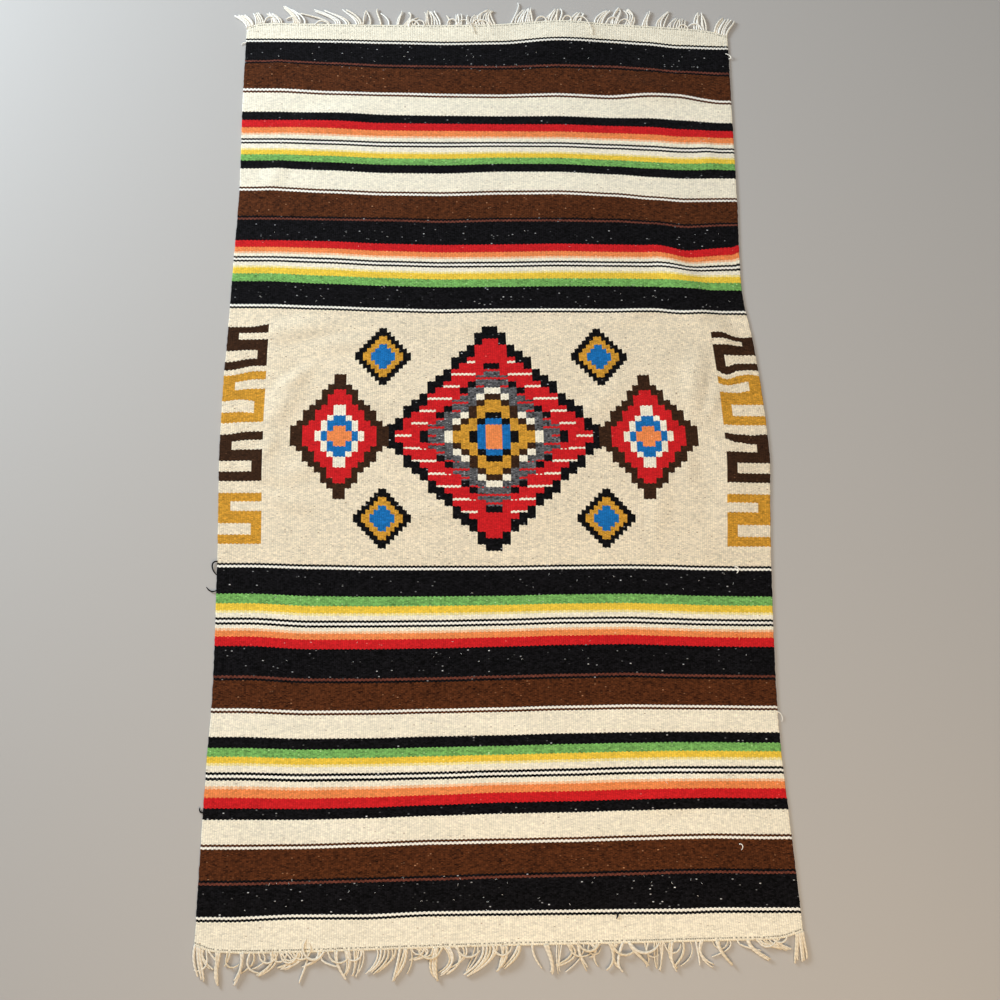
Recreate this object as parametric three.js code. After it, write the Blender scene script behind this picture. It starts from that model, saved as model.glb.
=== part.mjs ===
// A Mexican serape laid out flat: one tapestry-woven web, the ends of its warps as fringe at both ends,
// and the bundled selvedge warps that end as a tassel at each corner.
//
// Millimetres, +Z up. +Y runs along the warp to the far end and +X across the cloth to the right.
// The finished group has its origin on the floor, under the middle of its bounding box.
import * as THREE from "three";

// ---- Driving dimensions ----------------------------------------------------------------------------------
const WEB_THICKNESS = 3; // the woven wall
const FRINGE_THICKNESS = 5; // loose twisted warp ends, lying on each other in places
const TASSEL_THICKNESS = 7; // bundled selvedge warps
const SEAM_GAP = 0.3; // clear space where two solids meet
const CORNER_MARGIN = 14; // width at each corner that belongs to the tassel
const TIP_CLEARANCE = 11; // how much further the fringe's tips keep away from the tassels

const WEB_COLUMNS = 34; // cells across the web
const WEB_ROWS = 58; // cells along the web

// The two selvedges, read along the warp: where each one runs, from the far end to the near end.
const SELVEDGES = [
  { along: 860, left: -503, right: 451 },
  { along: 690, left: -502, right: 451 },
  { along: 500, left: -497, right: 451 },
  { along: 290, left: -500, right: 450 },
  { along: 200, left: -501, right: 463 },
  { along: 100, left: -503, right: 474 },
  { along: -30, left: -502, right: 482 },
  { along: -120, left: -498, right: 478 },
  { along: -235, left: -493, right: 473 },
  { along: -450, left: -487, right: 468 },
  { along: -560, left: -489, right: 470 },
  { along: -680, left: -490, right: 477 },
  { along: -860, left: -490, right: 488 },
];

// The two woven ends, read across the cloth: how far each one lies from the middle. across is the share of
// the width, from the left selvedge to the right one.
const WOVEN_ENDS = [
  { across: 0, far: 848, near: -852 },
  { across: 0.03, far: 857, near: -862 },
  { across: 0.12, far: 857, near: -864 },
  { across: 0.3, far: 854, near: -859 },
  { across: 0.5, far: 855, near: -853 },
  { across: 0.66, far: 864, near: -850 },
  { across: 0.75, far: 857, near: -848 },
  { across: 0.88, far: 848, near: -845 },
  { across: 0.96, far: 840, near: -842 },
  { across: 1, far: 828, near: -831 },
];

// How far the loose warp ends reach past the woven ends.
const FRINGE_REACH = [
  { across: 0, far: 33, near: 46 },
  { across: 0.15, far: 38, near: 46 },
  { across: 0.4, far: 40, near: 47 },
  { across: 0.7, far: 32, near: 43 },
  { across: 1, far: 36, near: 41 },
];

// The soft ripples the web lies in. Each is a smooth rise about a point, with half its length and half its
// width, turned from +X towards +Y by turn degrees.
const RIPPLES = [
  { name: "right shoulder ridge", x: 345, y: 285, length: 150, width: 46, turn: -62, height: 9 },
  { name: "right panel pucker", x: 352, y: 95, length: 95, width: 34, turn: 82, height: 5 },
  { name: "right selvedge swell", x: 415, y: -90, length: 120, width: 50, turn: 96, height: 4 },
  { name: "left panel pucker", x: -395, y: 60, length: 90, width: 36, turn: 58, height: 5 },
  { name: "left selvedge pucker", x: -432, y: -65, length: 60, width: 30, turn: -35, height: 4 },
  { name: "left shoulder swell", x: -380, y: 205, length: 110, width: 32, turn: 8, height: 4.5 },
  { name: "far end arch", x: 120, y: 815, length: 120, width: 60, turn: 0, height: 7 },
  { name: "far right wave", x: 285, y: 705, length: 110, width: 42, turn: -12, height: 6 },
  { name: "far left swell", x: -330, y: 640, length: 130, width: 45, turn: 15, height: 4 },
  { name: "near left swell", x: -300, y: -700, length: 140, width: 50, turn: -10, height: 4 },
  { name: "near right swell", x: 300, y: -610, length: 130, width: 48, turn: 12, height: 4.5 },
];

// The selvedge warps at each corner. root and tip are the bundle's width, lean is how far its tip has swung
// to the right, and side and end are -1 or 1 for left or right and near or far.
const TASSELS = [
  { name: "tassel_far_left", side: -1, end: 1, root: 13, tip: 24, reach: 26, lean: -22 },
  { name: "tassel_far_right", side: 1, end: 1, root: 13, tip: 12, reach: 36, lean: 16 },
  { name: "tassel_near_left", side: -1, end: -1, root: 11, tip: 12, reach: 50, lean: 8 },
  { name: "tassel_near_right", side: 1, end: -1, root: 13, tip: 27, reach: 44, lean: -1 },
];

// ---- Materials -------------------------------------------------------------------------------------------
const wool = new THREE.MeshStandardMaterial({ color: 0xe9dfc6, roughness: 0.95, metalness: 0 });
const cotton = new THREE.MeshStandardMaterial({ color: 0xeee6d2, roughness: 0.9, metalness: 0 });

// ---- Reading the tables ----------------------------------------------------------------------------------
// A smooth curve through one column of a table: a cubic between each two rows whose slopes are those of the
// chords through the neighbouring rows.
function readTable(table, key, column, at) {
  const rows = table[0][key] < table[table.length - 1][key] ? table : [...table].reverse();
  const last = rows.length - 1;
  const place = THREE.MathUtils.clamp(at, rows[0][key], rows[last][key]);
  let i = 0;
  while (i < last - 1 && place > rows[i + 1][key]) i += 1;
  const slope = (n) => {
    const before = rows[Math.max(n - 1, 0)];
    const after = rows[Math.min(n + 1, last)];
    return (after[column] - before[column]) / (after[key] - before[key]);
  };
  const span = rows[i + 1][key] - rows[i][key];
  const t = (place - rows[i][key]) / span;
  const rise = rows[i + 1][column] - rows[i][column];
  const bendIn = slope(i) * span - rise;
  const bendOut = -slope(i + 1) * span + rise;
  return rows[i][column] + t * rise + t * (1 - t) * ((1 - t) * bendIn + t * bendOut);
}

// ---- The cloth's form ------------------------------------------------------------------------------------
const NOMINAL_HALF = 855; // half the woven length, which the selvedges are read by

// The place on the web at across (0 left, 1 right) and along (0 near, 1 far).
function webPoint(across, along) {
  const nominal = THREE.MathUtils.lerp(-NOMINAL_HALF, NOMINAL_HALF, along);
  const left = readTable(SELVEDGES, "along", "left", nominal);
  const right = readTable(SELVEDGES, "along", "right", nominal);
  const near = readTable(WOVEN_ENDS, "across", "near", across);
  const far = readTable(WOVEN_ENDS, "across", "far", across);
  return new THREE.Vector2(
    THREE.MathUtils.lerp(left, right, across),
    THREE.MathUtils.lerp(near, far, along),
  );
}

// The same place on the straight edge of the web's cells, at the near end (along 0) or the far end (along 1).
function wovenEnd(across, along) {
  const cell = Math.min(Math.floor(across * WEB_COLUMNS), WEB_COLUMNS - 1);
  const start = webPoint(cell / WEB_COLUMNS, along);
  const finish = webPoint((cell + 1) / WEB_COLUMNS, along);
  return start.lerp(finish, across * WEB_COLUMNS - cell);
}

// The share of the width that a length in millimetres takes up at the near end or the far end.
function shareOfEnd(length, along) {
  return length / (webPoint(1, along).x - webPoint(0, along).x);
}

// How far the cloth is lifted off the floor at a place: nothing outside the ripples.
function lift(x, y) {
  let height = 0;
  for (const ripple of RIPPLES) {
    const turn = THREE.MathUtils.degToRad(ripple.turn);
    const dx = x - ripple.x;
    const dy = y - ripple.y;
    const lengthwise = (dx * Math.cos(turn) + dy * Math.sin(turn)) / ripple.length;
    const crosswise = (-dx * Math.sin(turn) + dy * Math.cos(turn)) / ripple.width;
    const inside = 1 - lengthwise * lengthwise - crosswise * crosswise;
    if (inside > 0) height += ripple.height * inside * inside;
  }
  return height;
}

// ---- Solids ----------------------------------------------------------------------------------------------
// A closed wall over a grid of places: pointAt gives x and y for a column and a row, floorAt the underside
// and thickness the wall.
function wallGeometry(columns, rows, pointAt, floorAt, thickness) {
  const positions = [];
  const faces = [];
  const perSide = (columns + 1) * (rows + 1);
  for (const raised of [0, thickness]) {
    for (let row = 0; row <= rows; row += 1) {
      for (let column = 0; column <= columns; column += 1) {
        const p = pointAt(column, row);
        positions.push(p.x, p.y, floorAt(p.x, p.y) + raised);
      }
    }
  }
  const under = (column, row) => row * (columns + 1) + column;
  const over = (column, row) => perSide + under(column, row);
  for (let row = 0; row < rows; row += 1) {
    for (let column = 0; column < columns; column += 1) {
      const next = column + 1;
      const up = row + 1;
      faces.push(over(column, row), over(next, row), over(next, up));
      faces.push(over(column, row), over(next, up), over(column, up));
      faces.push(under(column, row), under(next, up), under(next, row));
      faces.push(under(column, row), under(column, up), under(next, up));
    }
  }
  const rim = [];
  for (let column = 0; column < columns; column += 1) rim.push([column, 0]);
  for (let row = 0; row < rows; row += 1) rim.push([columns, row]);
  for (let column = columns; column > 0; column -= 1) rim.push([column, rows]);
  for (let row = rows; row > 0; row -= 1) rim.push([0, row]);
  rim.forEach(([column, row], i) => {
    const [nextColumn, nextRow] = rim[(i + 1) % rim.length];
    faces.push(under(column, row), under(nextColumn, nextRow), over(nextColumn, nextRow));
    faces.push(under(column, row), over(nextColumn, nextRow), over(column, row));
  });
  const geometry = new THREE.BufferGeometry();
  geometry.setAttribute("position", new THREE.Float32BufferAttribute(positions, 3));
  geometry.setIndex(faces);
  geometry.computeVertexNormals();
  return geometry;
}

function makeWeb() {
  const pointAt = (column, row) => webPoint(column / WEB_COLUMNS, row / WEB_ROWS);
  return namedMesh("web", wallGeometry(WEB_COLUMNS, WEB_ROWS, pointAt, lift, WEB_THICKNESS), wool);
}

// The loose warp ends of one end of the cloth: a flat strip that follows the woven end and lies on the floor.
function makeFringe(name, end) {
  const side = end === "far" ? 1 : -1;
  const along = end === "far" ? 1 : 0;
  const margin = shareOfEnd(CORNER_MARGIN, along);
  const pointAt = (column, row) => {
    const across = THREE.MathUtils.clamp(column / WEB_COLUMNS, margin, 1 - margin);
    const place = wovenEnd(across, along);
    const reach = readTable(FRINGE_REACH, "across", end, across);
    const outward = end === "far" ? row : 1 - row;
    place.y += side * THREE.MathUtils.lerp(SEAM_GAP, reach, outward);
    if (column === 0) place.x += TIP_CLEARANCE * outward;
    if (column === WEB_COLUMNS) place.x -= TIP_CLEARANCE * outward;
    return place;
  };
  const onFloor = () => 0;
  return namedMesh(name, wallGeometry(WEB_COLUMNS, 1, pointAt, onFloor, FRINGE_THICKNESS), cotton);
}

// The bundled selvedge warps at one corner: a bar that starts at the woven corner and leans to its tip.
function makeTassel(row) {
  const along = row.end > 0 ? 1 : 0;
  const rootShare = shareOfEnd(row.root, along);
  const leftRoot = wovenEnd(row.side > 0 ? 1 - rootShare : 0, along);
  const rightRoot = wovenEnd(row.side > 0 ? 1 : rootShare, along);
  const gap = row.end * SEAM_GAP;
  const tipX = (leftRoot.x + rightRoot.x) / 2 + row.lean;
  const tipY = (leftRoot.y + rightRoot.y) / 2 + row.end * row.reach;
  const outline = new THREE.Shape();
  outline.moveTo(leftRoot.x, leftRoot.y + gap);
  outline.lineTo(rightRoot.x, rightRoot.y + gap);
  outline.lineTo(tipX + row.tip / 2, tipY);
  outline.lineTo(tipX - row.tip / 2, tipY);
  outline.closePath();
  const options = { depth: TASSEL_THICKNESS, bevelEnabled: false };
  return namedMesh(row.name, new THREE.ExtrudeGeometry(outline, options), cotton);
}

function namedMesh(name, geometry, material) {
  const mesh = new THREE.Mesh(geometry, material);
  mesh.name = name;
  return mesh;
}

// ---- The whole piece, with its origin under the middle of its box ----------------------------------------
const laidOut = new THREE.Group();
laidOut.add(makeWeb());
laidOut.add(makeFringe("fringe_far", "far"));
laidOut.add(makeFringe("fringe_near", "near"));
for (const row of TASSELS) laidOut.add(makeTassel(row));

const middle = new THREE.Box3().setFromObject(laidOut).getCenter(new THREE.Vector3());
laidOut.position.set(-middle.x, -middle.y, 0);

const serape = new THREE.Group();
serape.add(laidOut);

export default serape;
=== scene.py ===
"""A Mexican serape laid out flat: one tapestry-woven web with a warp fringe at both ends.

All lengths are in metres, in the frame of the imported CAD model: +X across the cloth to the right, +Y along
the warp to the far end, +Z up from the floor. "Laid" coordinates are those of the part's own tables, which
have their origin near the middle of the woven panel; place() turns them into the frame's.
"""

import math
import random

import bpy
import numpy as np
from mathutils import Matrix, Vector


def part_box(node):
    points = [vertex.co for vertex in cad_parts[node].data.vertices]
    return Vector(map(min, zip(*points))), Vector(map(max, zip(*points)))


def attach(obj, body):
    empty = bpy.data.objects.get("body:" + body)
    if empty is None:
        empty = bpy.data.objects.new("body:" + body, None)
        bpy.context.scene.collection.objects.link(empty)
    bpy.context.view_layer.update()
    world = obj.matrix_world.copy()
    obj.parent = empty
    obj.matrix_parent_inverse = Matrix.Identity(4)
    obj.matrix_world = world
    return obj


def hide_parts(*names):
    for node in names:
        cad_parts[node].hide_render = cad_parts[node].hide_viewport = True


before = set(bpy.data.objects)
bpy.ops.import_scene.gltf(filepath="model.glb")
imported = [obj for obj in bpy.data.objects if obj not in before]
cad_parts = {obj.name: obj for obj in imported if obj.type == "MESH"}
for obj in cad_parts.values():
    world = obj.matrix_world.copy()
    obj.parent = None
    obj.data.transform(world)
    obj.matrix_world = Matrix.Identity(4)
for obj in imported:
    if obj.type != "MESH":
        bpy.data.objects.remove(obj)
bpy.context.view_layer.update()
MM = 0.001
FLOOR_DROP = 0.0002  # the floor lies this far below the cloth, so that the two don't flicker


# ---- The form of the cloth, the same tables as in the CAD part, in millimetres ----
WOVEN_WIDTH = 970
WOVEN_LENGTH = 1710
NOMINAL_HALF = WOVEN_LENGTH / 2  # the selvedges are read by this length
WEB_THICKNESS = 3.0

# Where each selvedge runs.
SELVEDGES = {
    "along": (-860, -680, -560, -450, -235, -120, -30, 100, 200, 290, 500, 690, 860),
    "left": (-490, -490, -489, -487, -493, -498, -502, -503, -501, -500, -497, -502, -503),
    "right": (488, 477, 470, 468, 473, 478, 482, 474, 463, 450, 451, 451, 451),
}

# Where each woven end runs, by the share of the width from the left selvedge.
WOVEN_ENDS = {
    "across": (0, 0.03, 0.12, 0.3, 0.5, 0.66, 0.75, 0.88, 0.96, 1),
    "far": (848, 857, 857, 854, 855, 864, 857, 848, 840, 828),
    "near": (-852, -862, -864, -859, -853, -850, -848, -845, -842, -831),
}

# The soft ripples of the CAD part: x, y, half length, half width, turn in degrees, height.
RIPPLES = (
    (345, 285, 150, 46, -62, 9),
    (352, 95, 95, 34, 82, 5),
    (415, -90, 120, 50, 96, 4),
    (-395, 60, 90, 36, 58, 5),
    (-432, -65, 60, 30, -35, 4),
    (-380, 205, 110, 32, 8, 4.5),
    (120, 815, 120, 60, 0, 7),
    (285, 705, 110, 42, -12, 6),
    (-330, 640, 130, 45, 15, 4),
    (-300, -700, 140, 50, -10, 4),
    (300, -610, 130, 48, 12, 4.5),
)

# Smaller puckers that only the surface shows, in the same columns.
PUCKERS = (
    (-405, 150, 60, 22, -40, 3.5),
    (-372, 110, 55, 20, 35, 3.3),
    (-415, -20, 48, 20, 60, 3.5),
    (-380, -120, 70, 22, -20, 3.1),
    (-350, -60, 60, 26, 25, 2.4),
    (-300, 175, 80, 24, 5, 2.6),
    (-255, 60, 70, 30, -30, 2.0),
    (-150, -150, 90, 34, 15, 1.8),
    (60, -140, 110, 36, -8, 1.8),
    (180, 60, 80, 30, 40, 2.0),
    (300, 30, 90, 22, 78, 3.5),
    (330, -40, 80, 20, 100, 3.1),
    (385, 60, 60, 18, 70, 3.3),
    (280, -120, 90, 26, 85, 2.6),
    (395, -160, 55, 22, -60, 2.6),
    (410, 190, 50, 20, -70, 4.0),
    (250, 240, 80, 30, 20, 2.2),
    (-60, 215, 120, 28, 4, 1.8),
    (-210, 430, 110, 40, 12, 2.0),
    (140, 470, 120, 40, -10, 2.0),
    (-430, 520, 60, 28, 70, 2.7),
    (400, 560, 70, 26, -75, 3.1),
    (-120, 720, 120, 38, 8, 2.2),
    (-440, 760, 50, 24, 60, 2.4),
    (0, -420, 140, 44, -5, 1.7),
    (-420, -400, 70, 30, 75, 2.5),
    (420, -420, 60, 28, 80, 2.4),
    (180, -760, 120, 40, 8, 2.0),
    (-80, -640, 130, 42, -12, 1.9),
    (430, -720, 60, 28, 75, 2.7),
    (-440, -780, 60, 26, -70, 2.5),
)

# How far the wefts have drifted from straight, in millimetres towards the far end: a row for each station
# along the cloth, and a column for each place across it. WEFT_SHIFT is added to all of it.
WEFT_SHIFT = -2.2
DRIFT_ACROSS = (-430, -330, -220, -110, 0, 110, 220, 290, 350, 430)
WEFT_DRIFT = (
    (-860, (-3, 1, 1, 6, 7, 8, 9, 9, 11, 11)),
    (-808, (-3, 1, 1, 6, 7, 8, 9, 9, 11, 11)),
    (-750, (-6, -4, -1, 2, 6, 8, 11, 13, 14, 13)),
    (-690, (-9, -8, -5, -1, 1, 3, 6, 8, 9, 8)),
    (-632, (-8, -9, -7, -3, 1, 3, 6, 8, 9, 8)),
    (-587, (-2, -4, -3, -1, 2, 4, 7, 8, 8, 8)),
    (-527, (1, -2, -1, 2, 4, 7, 9, 10, 10, 9)),
    (-430, (1, -4, -4, -2, 1, 4, 6, 4, 3, 2)),
    (-332, (4, -1, -1, 0, 2, 5, 6, 4, 2, 1)),
    (-240, (8, 5, 3, 3, 3, 5, 6, 5, 3, 2)),
    (-120, (3, 2, 2, 1, 1, 2, 2, 2, 1, 0)),
    (120, (5, 4, 2, 1, 1, 2, 1, 2, 3, -4)),
    (240, (11, 8, 4, 1, 3, 3, 2, 3, -3, -2)),
    (290, (13, 8, 4, 1, 2, 3, 3, 2, -5, -6)),
    (365, (13, 10, 4, 1, 2, 4, 2, 1, -11, -4)),
    (430, (5, 3, 0, -2, 1, 1, -1, -6, -13, -10)),
    (487, (11, 6, 1, 0, 3, 3, -2, -9, -13, -13)),
    (527, (11, 7, 1, 0, 4, 4, -2, -7, -10, -10)),
    (620, (10, 7, 3, 2, 1, 1, -3, -5, -10, -14)),
    (697, (14, 9, 6, 3, 2, 5, 0, 2, 1, -11)),
    (757, (22, 16, 10, 8, 7, 11, 8, 3, -4, -7)),
    (810, (12, 10, 7, 4, 6, 10, 9, 4, -3, -6)),
    (860, (10, 10, 7, 4, 6, 10, 9, 4, -3, -6)),
)

# Kinks that pull the wefts out of line over a short stretch: the ripples' columns, with the shift towards the
# far end instead of a height.
KINKS = (
    (447, 200, 44, 36, 0, -12),
    (378, 212, 26, 16, 0, 5),
    (412, 118, 22, 40, 0, -9),
    (452, 96, 20, 40, 0, 5),
    (398, -6, 26, 20, 0, 8),
    (452, -12, 22, 24, 0, -4),
    (452, 366, 16, 60, 0, 7),
    (-500, 118, 56, 60, 0, -9),
    (-500, 0, 50, 40, 0, -6),
    (-420, 214, 40, 16, 0, 5),
    (-470, 60, 30, 24, 0, 4),
)


def read_curve(xs, ys, at):
    """A smooth curve through the points (xs, ys): a cubic between each two, with the slopes of the chords
    through the neighbouring points. at may be an array."""
    xs = np.asarray(xs, float)
    ys = np.asarray(ys, float)
    at = np.clip(np.asarray(at, float), xs[0], xs[-1])
    before = np.r_[0, np.arange(len(xs) - 1)]
    after = np.r_[np.arange(1, len(xs)), len(xs) - 1]
    slopes = (ys[after] - ys[before]) / (xs[after] - xs[before])
    i = np.clip(np.searchsorted(xs, at, side="left") - 1, 0, len(xs) - 2)
    span = xs[i + 1] - xs[i]
    t = (at - xs[i]) / span
    rise = ys[i + 1] - ys[i]
    bend_in = slopes[i] * span - rise
    bend_out = rise - slopes[i + 1] * span
    return ys[i] + t * rise + t * (1 - t) * ((1 - t) * bend_in + t * bend_out)


def web_place(across, along):
    """Laid x and y, in millimetres, at shares across (0 left, 1 right) and along (0 near, 1 far)."""
    nominal = NOMINAL_HALF * (2 * along - 1)
    left = read_curve(SELVEDGES["along"], SELVEDGES["left"], nominal)
    right = read_curve(SELVEDGES["along"], SELVEDGES["right"], nominal)
    near = read_curve(WOVEN_ENDS["across"], WOVEN_ENDS["near"], across)
    far = read_curve(WOVEN_ENDS["across"], WOVEN_ENDS["far"], across)
    return left + across * (right - left), near + along * (far - near)


def lift(x, y, rows):
    """How far the rows of ripples raise the cloth at laid places, in millimetres."""
    height = np.zeros(np.broadcast(x, y).shape)
    for centre_x, centre_y, length, width, turn, rise in rows:
        c, s = math.cos(math.radians(turn)), math.sin(math.radians(turn))
        dx, dy = x - centre_x, y - centre_y
        inside = 1 - ((dx * c + dy * s) / length) ** 2 - ((dy * c - dx * s) / width) ** 2
        height += rise * np.clip(inside, 0, None) ** 2
    return height


def weft_drift(x, y):
    """The drift table read at laid places: along the cloth at each column, then across between columns."""
    stations = [row[0] for row in WEFT_DRIFT]
    columns = np.array([row[1] for row in WEFT_DRIFT], float)
    along = np.stack([read_curve(stations, columns[:, k], y) for k in range(len(DRIFT_ACROSS))])
    spot = np.interp(x, DRIFT_ACROSS, np.arange(len(DRIFT_ACROSS)))
    k = np.clip(spot.astype(int), 0, len(DRIFT_ACROSS) - 2)
    t = spot - k
    t = (t * t * (3 - 2 * t) + t) / 2  # halfway between a smooth step and a straight line
    low = np.take_along_axis(along, k[None], 0)[0]
    high = np.take_along_axis(along, k[None] + 1, 0)[0]
    return low + t * (high - low) + WEFT_SHIFT + lift(x, y, KINKS)


# The CAD part is moved to stand in the middle of its box. The web's lowest x and y tell by how much: they are
# read at the same shares of its length and width as the CAD part's own rows and columns.
CAD_ROWS = np.linspace(0, 1, 59)
CAD_COLUMNS = np.linspace(0, 1, 35)
web_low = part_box("web")[0]
SHIFT_X = web_low.x - web_place(0.0, CAD_ROWS)[0].min() * MM
SHIFT_Y = web_low.y - web_place(CAD_COLUMNS, 0.0)[1].min() * MM


def place(x, y, z):
    """Laid millimetres to metres in the frame."""
    return np.stack([x * MM + SHIFT_X, y * MM + SHIFT_Y, z * MM], axis=-1)


# ---- The camera ----
CAMERA_ELEVATION = 76.5  # degrees above the cloth
CAMERA_HEIGHT = 1773  # above the floor, laid millimetres
CAMERA_BACK = 543  # towards the near end from the middle of the panel
CAMERA_LENS = 37.08  # focal length in millimetres
CAMERA_SENSOR = 36  # millimetres wide
CAMERA_SIGHT = 20  # metres to the farthest thing drawn


def make_camera():
    camera = bpy.data.objects.new("camera", bpy.data.cameras.new("camera"))
    bpy.context.scene.collection.objects.link(camera)
    camera.location = place(0.0, -CAMERA_BACK, CAMERA_HEIGHT)
    camera.rotation_euler = (math.radians(90 - CAMERA_ELEVATION), 0, 0)
    camera.data.lens = CAMERA_LENS
    camera.data.sensor_width = CAMERA_SENSOR
    camera.data.clip_end = CAMERA_SIGHT
    bpy.context.scene.camera = camera


# ---- Mesh helpers ----
def new_mesh(name, points, faces, uv_maps=None, floats=None):
    """An object from points and faces. uv_maps gives a place for each point or face corner by map name, and
    floats a value for each point by attribute name."""
    mesh = bpy.data.meshes.new(name)
    mesh.from_pydata([tuple(p) for p in points], [], faces)
    corner_points = np.zeros(len(mesh.loops), int)
    mesh.loops.foreach_get("vertex_index", corner_points)
    for map_name, places in (uv_maps or {}).items():
        layer = mesh.uv_layers.new(name=map_name)
        places = np.asarray(places, np.float32)
        if len(places) == len(points):
            places = places[corner_points]
        layer.data.foreach_set("uv", places.ravel())
    for attribute_name, values in (floats or {}).items():
        attribute = mesh.attributes.new(attribute_name, "FLOAT", "POINT")
        attribute.data.foreach_set("value", np.asarray(values, np.float32))
    mesh.polygons.foreach_set("use_smooth", np.ones(len(mesh.polygons), bool))
    mesh.update()
    obj = bpy.data.objects.new(name, mesh)
    bpy.context.scene.collection.objects.link(obj)
    return obj


class Strands:
    """Many cords in one mesh: each a closed tube of two twisted plies along a route."""

    SIDES = 8
    PLY_DEPTH = 0.2  # how far the groove between the plies cuts in, as a share of the radius
    TWIST_PITCH = 7.0  # millimetres for half a turn of the plies
    LEAST_HEIGHT = 0.05  # millimetres that a cord keeps above the floor

    def __init__(self):
        self.points, self.faces, self.coords, self.shade = [], [], [], []

    def add(self, route, radius, tip=0.7, shade=0.5, twist=0.0):
        """route: laid millimetres, one row for each ring. tip: the end's radius as a share."""
        route = np.asarray(route, float)
        count = len(route)
        steps = np.linalg.norm(np.diff(route, axis=0), axis=1)
        run = np.r_[0, np.cumsum(steps)]
        ahead = np.gradient(route, axis=0)
        ahead /= np.linalg.norm(ahead, axis=1)[:, None]
        side = np.cross(ahead, (0, 0, 1))
        side /= np.linalg.norm(side, axis=1)[:, None] + 1e-9
        up = np.cross(side, ahead)
        turns = 2 * np.pi * np.arange(self.SIDES) / self.SIDES
        shrink = 1 - (1 - tip) * (run / run[-1]) ** 3
        ply = np.cos(2 * (turns[None] - np.pi * run[:, None] / self.TWIST_PITCH + twist))
        radii = radius * shrink[:, None] * (1 - self.PLY_DEPTH * (0.5 - 0.5 * ply))
        rings = (
            route[:, None]
            + side[:, None] * (radii * np.cos(turns))[..., None]
            + up[:, None] * (radii * np.sin(turns))[..., None]
        )
        rings[..., 2] = np.maximum(rings[..., 2], self.LEAST_HEIGHT)
        start = len(self.points)
        self.points += list(place(*rings.reshape(-1, 3).T))
        around = np.tile(np.arange(self.SIDES) / self.SIDES, count)
        self.coords += list(zip(around, np.repeat(run, self.SIDES) * MM))
        self.shade += [shade] * (count * self.SIDES)
        for ring in range(count - 1):
            for k in range(self.SIDES):
                a = start + ring * self.SIDES + k
                b = start + ring * self.SIDES + (k + 1) % self.SIDES
                self.faces.append((a, b, b + self.SIDES, a + self.SIDES))
        last = start + (count - 1) * self.SIDES
        self.faces.append(tuple(start + k for k in reversed(range(self.SIDES))))
        self.faces.append(tuple(last + k for k in range(self.SIDES)))

    def build(self, name):
        uv_maps = {"Strand": self.coords}
        return new_mesh(name, self.points, self.faces, uv_maps, {"shade": self.shade})


def bezier(points, count):
    """count places on a cubic curve with the four control points."""
    t = np.linspace(0, 1, count)[:, None]
    a, b, c, d = (np.asarray(p, float) for p in points)
    return (1 - t) ** 3 * a + 3 * t * (1 - t) ** 2 * b + 3 * t * t * (1 - t) * c + t**3 * d


# ---- The yarns and the weave ----
WARP_COUNT = 266
WARP_PITCH = WOVEN_WIDTH / WARP_COUNT  # millimetres
PICK = 1.95  # millimetres that a pair of wefts takes, one over the even warps and one over the odd ones
END_GAPS = 5.0  # millimetres from each woven end to its row of small gaps
YARN_SHARE = 18  # a yarn's number is stored in a ramp as number / YARN_SHARE

# Each yarn: its colour, how strongly it is heathered, the colour of its flecks and the share of beads that
# are flecked.
YARNS = {
    "cream": ((246, 237, 214), 0.20, (150, 118, 84), 0.016),
    "natural": ((238, 223, 195), 0.26, (140, 104, 68), 0.036),
    "white": ((248, 243, 230), 0.12, (190, 170, 140), 0.004),
    # The black's strong heathering also paints glints of light off its fibres: painted highlights over its
    # own unevenness.
    "black": ((13, 12, 14), 1.70, (190, 190, 190), 0.016),
    "brown": ((80, 42, 20), 0.85, (176, 128, 92), 0.016),
    "russet": ((104, 56, 44), 0.50, (60, 36, 28), 0.010),
    "red": ((206, 32, 36), 0.28, (236, 130, 120), 0.006),
    "orange": ((240, 140, 80), 0.26, (250, 205, 170), 0.006),
    "peach": ((248, 198, 156), 0.24, (252, 226, 200), 0.010),
    "yellow": ((240, 202, 70), 0.24, (252, 236, 170), 0.006),
    "straw": ((246, 228, 158), 0.22, (252, 244, 210), 0.006),
    "green": ((118, 174, 92), 0.55, (190, 220, 160), 0.040),
    "umber": ((56, 35, 21), 0.60, (120, 84, 60), 0.010),
    "gold": ((207, 150, 52), 0.45, (160, 104, 30), 0.020),
    "grey": ((88, 88, 90), 1.10, (176, 176, 178), 0.100),
    "blue": ((26, 110, 178), 0.35, (120, 176, 214), 0.010),
}
YARN_NUMBER = {name: number for number, name in enumerate(YARNS)}

# The wefts of one half, from the middle of the panel outwards: yarn and pairs of picks. The other
# half mirrors it.
PICKS = (
    ("natural", 122), ("black", 2), ("white", 2), ("black", 23), ("green", 8), ("yellow", 6),
    ("straw", 2), ("cream", 4), ("black", 2), ("white", 2), ("black", 2),
    ("cream", 3), ("peach", 2), ("orange", 5), ("red", 8), ("black", 25),
    ("russet", 2), ("black", 2), ("brown", 24), ("white", 2), ("brown", 2), ("cream", 20),
    ("black", 9), ("green", 7), ("yellow", 5), ("straw", 2), ("cream", 5),
    ("black", 2), ("white", 2), ("black", 2), ("cream", 4), ("peach", 2),
    ("orange", 6), ("red", 8), ("black", 9), ("cream", 20), ("brown", 2), ("white", 2),
    ("brown", 26), ("black", 2), ("russet", 2), ("black", 26), ("white", 2), ("black", 2),
    ("cream", 60),
)
HALF_PANEL_PICKS = PICKS[0][1]
RAMP_PICKS = 219  # picks on one ramp: a ramp holds 256 samples, so each pick has one of its own
BEFORE_SAMPLE = 0.43  # how far before a pick's own sample its ramp stop lies, in picks

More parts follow.
